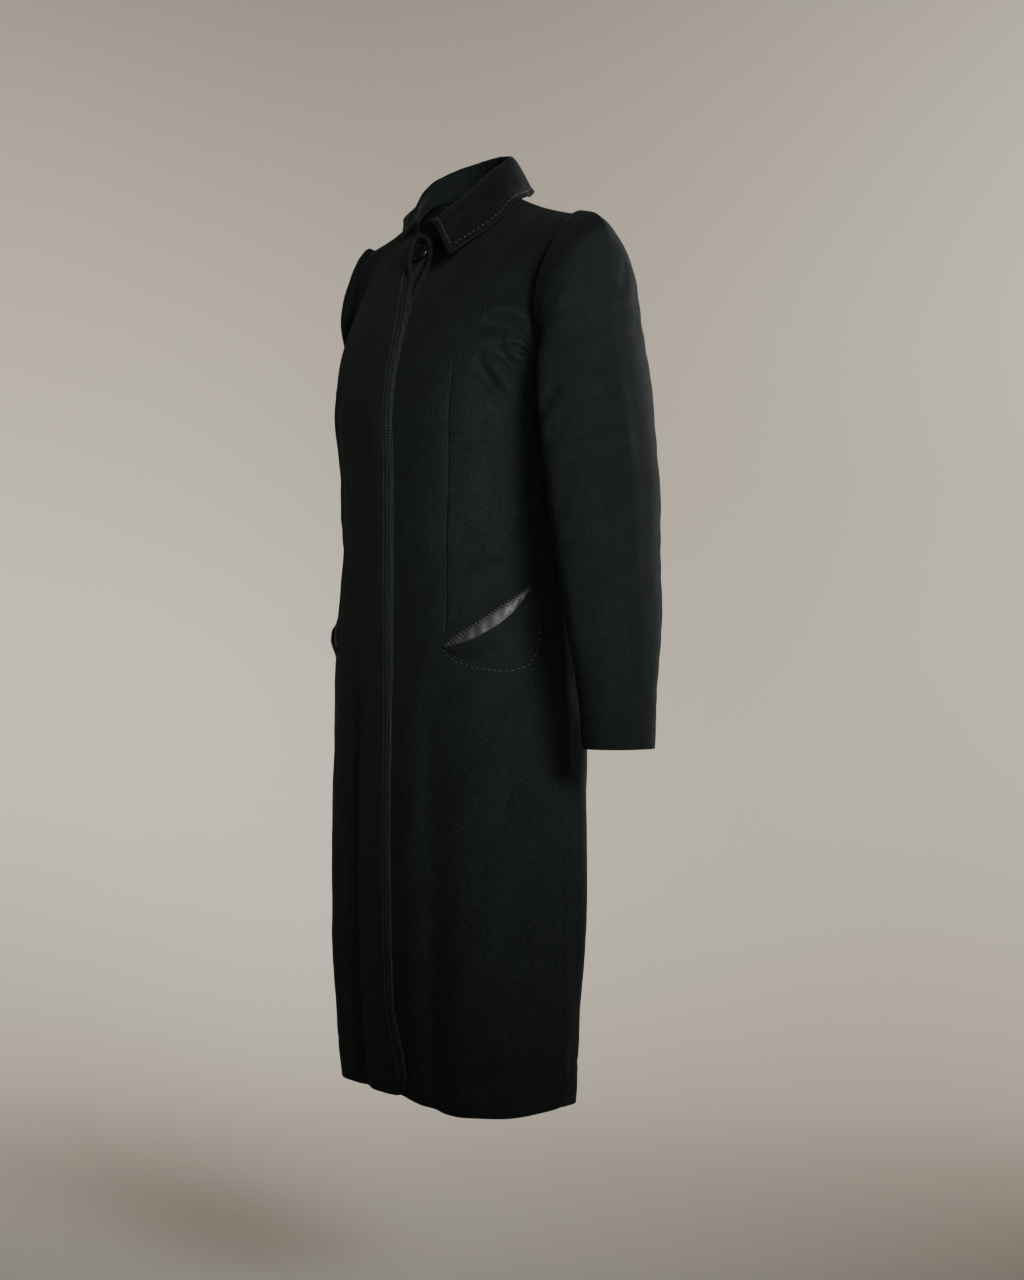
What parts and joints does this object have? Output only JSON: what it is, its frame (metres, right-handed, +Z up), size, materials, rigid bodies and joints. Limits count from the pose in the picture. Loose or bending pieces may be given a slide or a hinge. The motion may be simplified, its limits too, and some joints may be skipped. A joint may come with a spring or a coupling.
{
  "type": "long wool coat worn over a figure's form",
  "caption": "Long fly-front wool coat with turned-down collar, set-in sleeves, slanted leather-edged pockets and a back vent, hollow and open as worn.",
  "frame": {"origin": "midway between the two neck points of the shoulders, where the wearer's shoulders hold the coat", "axes": "+Z up, the front faces -Y, the wearer's left is +X"},
  "size_m": [0.5766, 0.2788, 1.0768],
  "materials": {
    "wool": "near-black heavy wool with a soft nap",
    "leather": "dark brown, semi-gloss",
    "button": "polished black horn-like"
  },
  "bodies": {
    "root": {"collar": "wool", "fly_band": "wool", "left_back": "wool", "left_front": "wool", "left_pocket_lip": "wool", "left_pocket_welt": "leather", "left_sleeve_under": "wool", "left_sleeve_upper": "wool", "right_back": "wool", "right_front": "wool", "right_pocket_lip": "wool", "right_pocket_welt": "leather", "right_sleeve_under": "wool", "right_sleeve_upper": "wool", "top_button": "button"}
  },
  "joints": []
}
